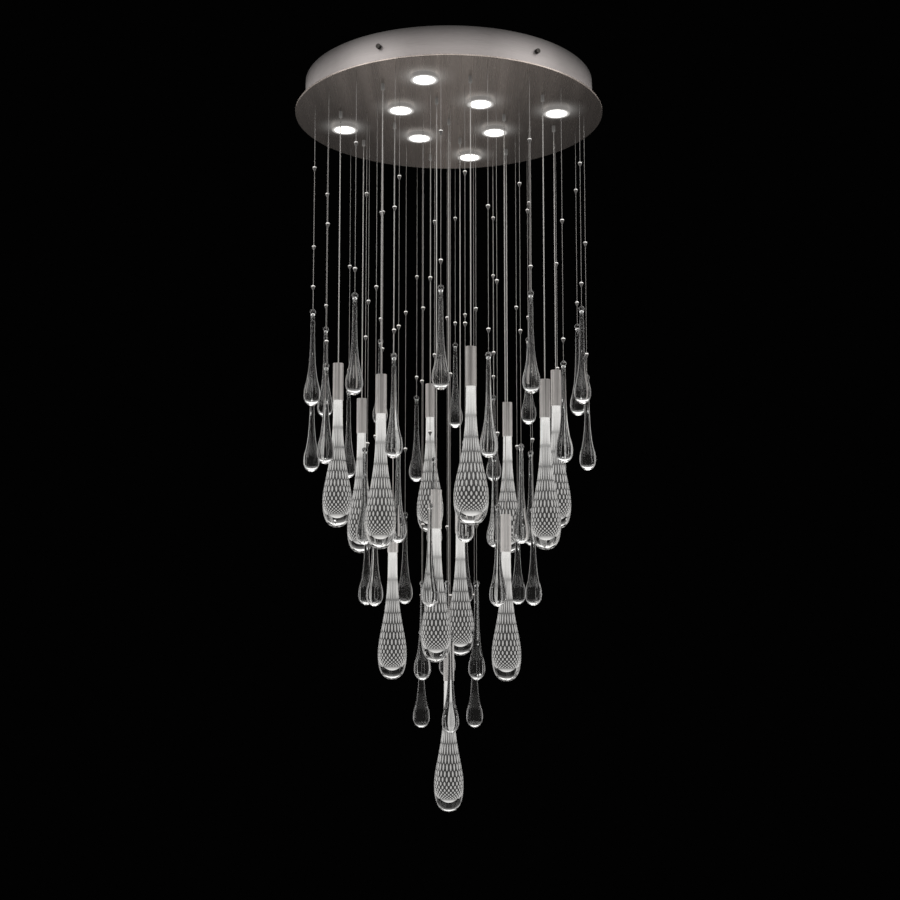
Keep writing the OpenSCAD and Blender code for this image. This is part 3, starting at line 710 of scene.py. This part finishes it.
clear_glass = solid_glass("clear_glass", index=1.5, roughness=0.03, clouds=(8, 8, 2.4),
                          tint=(0.96, 0.97, 0.97))
for node_name in ("outer_clear_drops", "middle_clear_drops", "inner_clear_drops"):
    shape = bmesh.new()
    for centre in solid_centres(node_name):
        turned(shape, clear_drop_outline(), centre)
    drops = finished(node_name + "_glass", shape, clear_glass)
    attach(drops, "canopy")
    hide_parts(node_name)

# Lit pendants.
# Each cable ends in a turned nickel cap. A lamp in the cap lights a heavy glass teardrop, whose
# inner core is a net of trapped bubbles, drawn long in the neck and short near the foot.
GLASS_NECK = 0.0135
GLASS_NECK_LENGTH = 0.030
GLASS_END = 0.074
GLASS_NECK_PULL = 0.65
GLASS_BODY_PULL = 0.80
GLASS_FULLNESS = 0.68
GLASS_GRIP = 0.015
CORE_SHARE = 0.67
CORE_TOP_GAP = 0.001
CORE_FOOT_GAP = 0.030
CORE_FULLNESS = 0.55

# Painted light: the lower caps are painted brighter and given a painted glow, for the light that
# they pick up from the lit glass round them.
CAP_DARK = (0.42, 0.40, 0.388)
CAP_LIGHT = (1.0, 0.965, 0.94)
CAP_PAINTED_SHADE_GREYS = (1.0, 1.0, 1.0, 0.72, 0.72, 0.72)
CAP_PAINTED_GLOWS = (0.14, 0.14, 0.14, 0.015, 0.0, 0.0)
cap_metal, cap_colour = brushed_metal(
    "cap_nickel", CAP_DARK, CAP_LIGHT, metallic=0.5, roughness=0.36, lines=(240, 240, 2),
    depth=0.0001, cloudy=0.1)
cap_height = height_share(cap_metal, cad_low.z, plate_under)
coat(cap_metal, shaded(cap_metal, cap_colour, cap_height, CAP_PAINTED_SHADE_GREYS))
glow(cap_metal, ramp(cap_metal, cap_height, tinted(CAP_PAINTED_GLOWS, WARM_TINT)))
lit_glass = solid_glass("lit_drop_glass", index=1.48, roughness=0.0, clouds=(6, 6, 3),
                        tint=(0.97, 0.97, 0.965))

# The core glows. It is brightest just under the cap, fades down the body between the bubbles and
# lights up again round its foot. Faint streaks run down it.
CORE_COLOUR = (0.03, 0.03, 0.03, 1)
CORE_GLOWS = (0.80, 0.70, 0.54, 0.34, 0.27, 0.20, 0.14, 0.09, 0.06, 0.045, 0.04, 0.04, 0.05)
CORE_FOOT_START = 0.885
CORE_FOOT_END = 0.915
CORE_FOOT_GLOW = 0.9
CORE_STREAKS = (60, 6, 1)
CORE_STREAK_GREYS = (0.86, 1.0)
CORE_STREAK_LOW = 0.35
CORE_STREAK_HIGH = 0.65
CORE_UV = "round_and_down"
core_glass = new_material("bubble_core", {"Base Color": CORE_COLOUR, "Roughness": 0.5,
                                          "Specular IOR Level": 0.0})
core_place = add_node(core_glass, "ShaderNodeUVMap", uv_map=CORE_UV).outputs[0]
core_colours = tinted((*CORE_GLOWS, CORE_FOOT_GLOW), WARM_TINT)
core_stops = even_stops(core_colours[:-1], high=CORE_FOOT_START)
core_stops.append((CORE_FOOT_END, core_colours[-1]))
core_light = stops_ramp(core_glass, axes_of(core_glass, core_place)["Y"], core_stops)
core_streak = noise(core_glass, CORE_STREAKS, detail=3, place=core_place)
glow(core_glass, shaded(core_glass, core_light, core_streak, CORE_STREAK_GREYS,
                        CORE_STREAK_LOW, CORE_STREAK_HIGH))

# The bubbles carry the lamp's light down the drop, ever less of it until the last rows.
BUBBLE_COLOUR = (0.08, 0.08, 0.08, 1)
BUBBLE_GLOWS = (0.76, 0.64, 0.57, 0.52, 0.48, 0.45, 0.43, 0.44, 0.54)
BUBBLE_GLOW_START = 0.1
BUBBLE_GLOW_END = 0.9
bubble_hollow = new_material("bubble_hollow", {"Base Color": BUBBLE_COLOUR, "Roughness": 0.5,
                                               "Specular IOR Level": 0.0})
bubble_down = add_node(bubble_hollow, "ShaderNodeAttribute", attribute_name="bubble_down")
glow(bubble_hollow, ramp(bubble_hollow, bubble_down.outputs["Fac"],
                         tinted(BUBBLE_GLOWS, WARM_TINT), BUBBLE_GLOW_START, BUBBLE_GLOW_END))

# Rows in the neck have an even pitch, and each later row takes a share of the depth that is left.
# A bubble's width is a share of the spacing round its row, and its length is a share of the pitch.
# The unit is the width of the ball that each point scales.
BUBBLE_UNIT = 0.001
BUBBLE_SEGMENTS = 8
BUBBLE_RINGS = 5
BUBBLES_ROUND = 16
FIRST_ROW = 0.020
EVEN_PITCH = 0.058
EVEN_END = 0.130
ROW_SHARE = 0.19
LAST_ROW_GAP = 0.011
BUBBLE_DEPTH = 0.0060
BUBBLE_WIDTH = 0.44
BUBBLE_LENGTH_TOP = 0.90
BUBBLE_LENGTH_FOOT = 1.06


def bubble_tree():
    """Sets a long bubble on each point, sized and turned by the point's own attributes."""
    tree = bpy.data.node_groups.new("bubble_net", "GeometryNodeTree")
    for name, way, kind in (("Geometry", "INPUT", "NodeSocketGeometry"),
                            ("Bubble width", "INPUT", "NodeSocketFloat"),
                            ("Bubble material", "INPUT", "NodeSocketMaterial"),
                            ("Geometry", "OUTPUT", "NodeSocketGeometry")):
        tree.interface.new_socket(name, in_out=way, socket_type=kind)
    inlet = tree.nodes.new("NodeGroupInput")
    outlet = tree.nodes.new("NodeGroupOutput")
    ball = tree.nodes.new("GeometryNodeMeshUVSphere")
    ball.inputs["Segments"].default_value = BUBBLE_SEGMENTS
    ball.inputs["Rings"].default_value = BUBBLE_RINGS
    radius = tree.nodes.new("ShaderNodeMath")
    radius.operation = "MULTIPLY"
    radius.inputs[1].default_value = 0.5
    place = tree.nodes.new("GeometryNodeInstanceOnPoints")
    real = tree.nodes.new("GeometryNodeRealizeInstances")
    smooth = tree.nodes.new("GeometryNodeSetShadeSmooth")
    colour = tree.nodes.new("GeometryNodeSetMaterial")
    link = tree.links.new
    for attribute, socket in (("bubble_turn", "Rotation"), ("bubble_scale", "Scale")):
        reader = tree.nodes.new("GeometryNodeInputNamedAttribute")
        reader.data_type = "FLOAT_VECTOR"
        reader.inputs["Name"].default_value = attribute
        link(reader.outputs["Attribute"], place.inputs[socket])
    link(inlet.outputs["Bubble width"], radius.inputs[0])
    link(radius.outputs[0], ball.inputs["Radius"])
    link(inlet.outputs["Geometry"], place.inputs["Points"])
    link(ball.outputs["Mesh"], place.inputs["Instance"])
    link(place.outputs["Instances"], real.inputs["Geometry"])
    link(real.outputs["Geometry"], smooth.inputs["Geometry"])
    link(smooth.outputs["Geometry"], colour.inputs["Geometry"])
    link(inlet.outputs["Bubble material"], colour.inputs["Material"])
    link(colour.outputs["Geometry"], outlet.inputs["Geometry"])
    return tree


def plain_result(piece, name):
    """The evaluated result of a piece's modifiers as a plain mesh object; the piece goes."""
    graph = bpy.context.evaluated_depsgraph_get()
    mesh = bpy.data.meshes.new_from_object(piece.evaluated_get(graph))
    mesh.name = name
    bpy.data.objects.remove(piece)
    return in_scene(name, mesh)


def lit_body(neck, radius, wide):
    """The side of a lit drop or of its core, from the neck's end down to the widest place."""
    return cubic_run((neck, -GLASS_NECK_LENGTH), (neck, -wide * GLASS_NECK_PULL),
                     (radius, -wide * GLASS_BODY_PULL), (radius, -wide), BODY_RINGS)


def wrap_core(mesh, centre, length):
    """A UV map that runs once round the core, and down it by shares of the drop's length."""
    layer = mesh.uv_layers.new(name=CORE_UV)
    for loop in mesh.loops:
        spot = mesh.vertices[loop.vertex_index].co
        around = math.atan2(spot.y - centre[1], spot.x - centre[0]) / (2 * math.pi) + 0.5
        layer.data[loop.index].uv = (around, (centre[2] - spot.z) / length)


def radius_at(outline, height):
    """Radius and slope of an outline at a height."""
    for (r0, z0), (r1, z1) in zip(outline, outline[1:]):
        if z1 <= height <= z0 and z0 > z1:
            share = (z0 - height) / (z0 - z1)
            return r0 + (r1 - r0) * share, math.atan2(r1 - r0, z0 - z1)
    return 0.0, 0.0


def bubble_points(outline, centre, foot, length):
    """Staggered rows down the core: even in the neck, then each a share of what is left."""
    places, scales, turns, downs = [], [], [], []
    depth = FIRST_ROW
    row = 0
    while foot - depth > LAST_ROW_GAP:
        pitch = EVEN_PITCH if depth < EVEN_END else ROW_SHARE * (foot - depth)
        middle = depth + pitch / 2
        radius, slope = radius_at(outline, -middle)
        spacing = 2 * math.pi * radius / BUBBLES_ROUND
        reach = BUBBLE_LENGTH_TOP + (BUBBLE_LENGTH_FOOT - BUBBLE_LENGTH_TOP) * middle / foot
        for i in range(BUBBLES_ROUND):
            turn = 2 * math.pi * (i + 0.5 * (row % 2)) / BUBBLES_ROUND
            places.append((centre[0] + radius * math.cos(turn),
                           centre[1] + radius * math.sin(turn), centre[2] - middle))
            scales.append((BUBBLE_DEPTH, spacing * BUBBLE_WIDTH, pitch * reach))
            turns.append((0.0, -slope, turn))
            downs.append(middle / length)
        depth += pitch
        row += 1
    return places, scales, turns, downs


bubble_net = bubble_tree()


def net_of_bubbles(stem, outline, centre, foot, length):
    """The bubbles of one core as a plain mesh, made by the bubble tree on a mesh of points."""
    places, scales, turns, downs = bubble_points(outline, centre, foot, length)
    points = bpy.data.meshes.new(stem + "_points")
    points.from_pydata(places, [], [])
    size = points.attributes.new("bubble_scale", "FLOAT_VECTOR", "POINT")
    size.data.foreach_set("vector", [v / BUBBLE_UNIT for item in scales for v in item])
    facing = points.attributes.new("bubble_turn", "FLOAT_VECTOR", "POINT")
    facing.data.foreach_set("vector", [v for item in turns for v in item])
    down = points.attributes.new("bubble_down", "FLOAT", "POINT")
    down.data.foreach_set("value", downs)
    net = in_scene(stem + "_net", points)
    modifier = net.modifiers.new("bubbles", "NODES")
    modifier.node_group = bubble_net
    given = {"Bubble width": BUBBLE_UNIT, "Bubble material": bubble_hollow}
    for item in bubble_net.interface.items_tree:
        if item.name in given:
            modifier[item.identifier] = given[item.name]
    return plain_result(net, stem + "_bubbles")


for body in sorted(frame["bodies"]):
    if body == "canopy":
        continue
    stem = body.replace("_pendant", "")
    paint(stem + "_cable", cable_jacket)
    paint(stem + "_cap", cap_metal)
    low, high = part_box(stem + "_glass")
    radius = (high.x - low.x) / 2
    centre = ((low.x + high.x) / 2, (low.y + high.y) / 2, high.z - GLASS_GRIP)
    length = centre[2] - low.z
    wide = length - GLASS_END

    glass_outline = ([(0, GLASS_GRIP), (GLASS_NECK, GLASS_GRIP)]
                     + lit_body(GLASS_NECK, radius, wide)
                     + round_end(radius, GLASS_END, -wide, GLASS_FULLNESS, END_RINGS))
    shape = bmesh.new()
    turned(shape, glass_outline, centre)
    glass = finished(stem + "_lit_glass", shape, lit_glass)
    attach(glass, body)
    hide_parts(stem + "_glass")

    top = GLASS_GRIP - CORE_TOP_GAP
    neck = GLASS_NECK * CORE_SHARE
    waist = radius * CORE_SHARE
    foot = length - CORE_FOOT_GAP
    core_outline = ([(0, top), (neck, top), (neck, 0)] + lit_body(neck, waist, wide)
                    + round_end(waist, foot - wide, -wide, CORE_FULLNESS, END_RINGS))
    shape = bmesh.new()
    turned(shape, core_outline, centre)
    core = finished(stem + "_core", shape, core_glass)
    wrap_core(core.data, centre, length)
    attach(core, body)

    bubbles = net_of_bubbles(stem, core_outline, centre, foot, length)
    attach(bubbles, body)
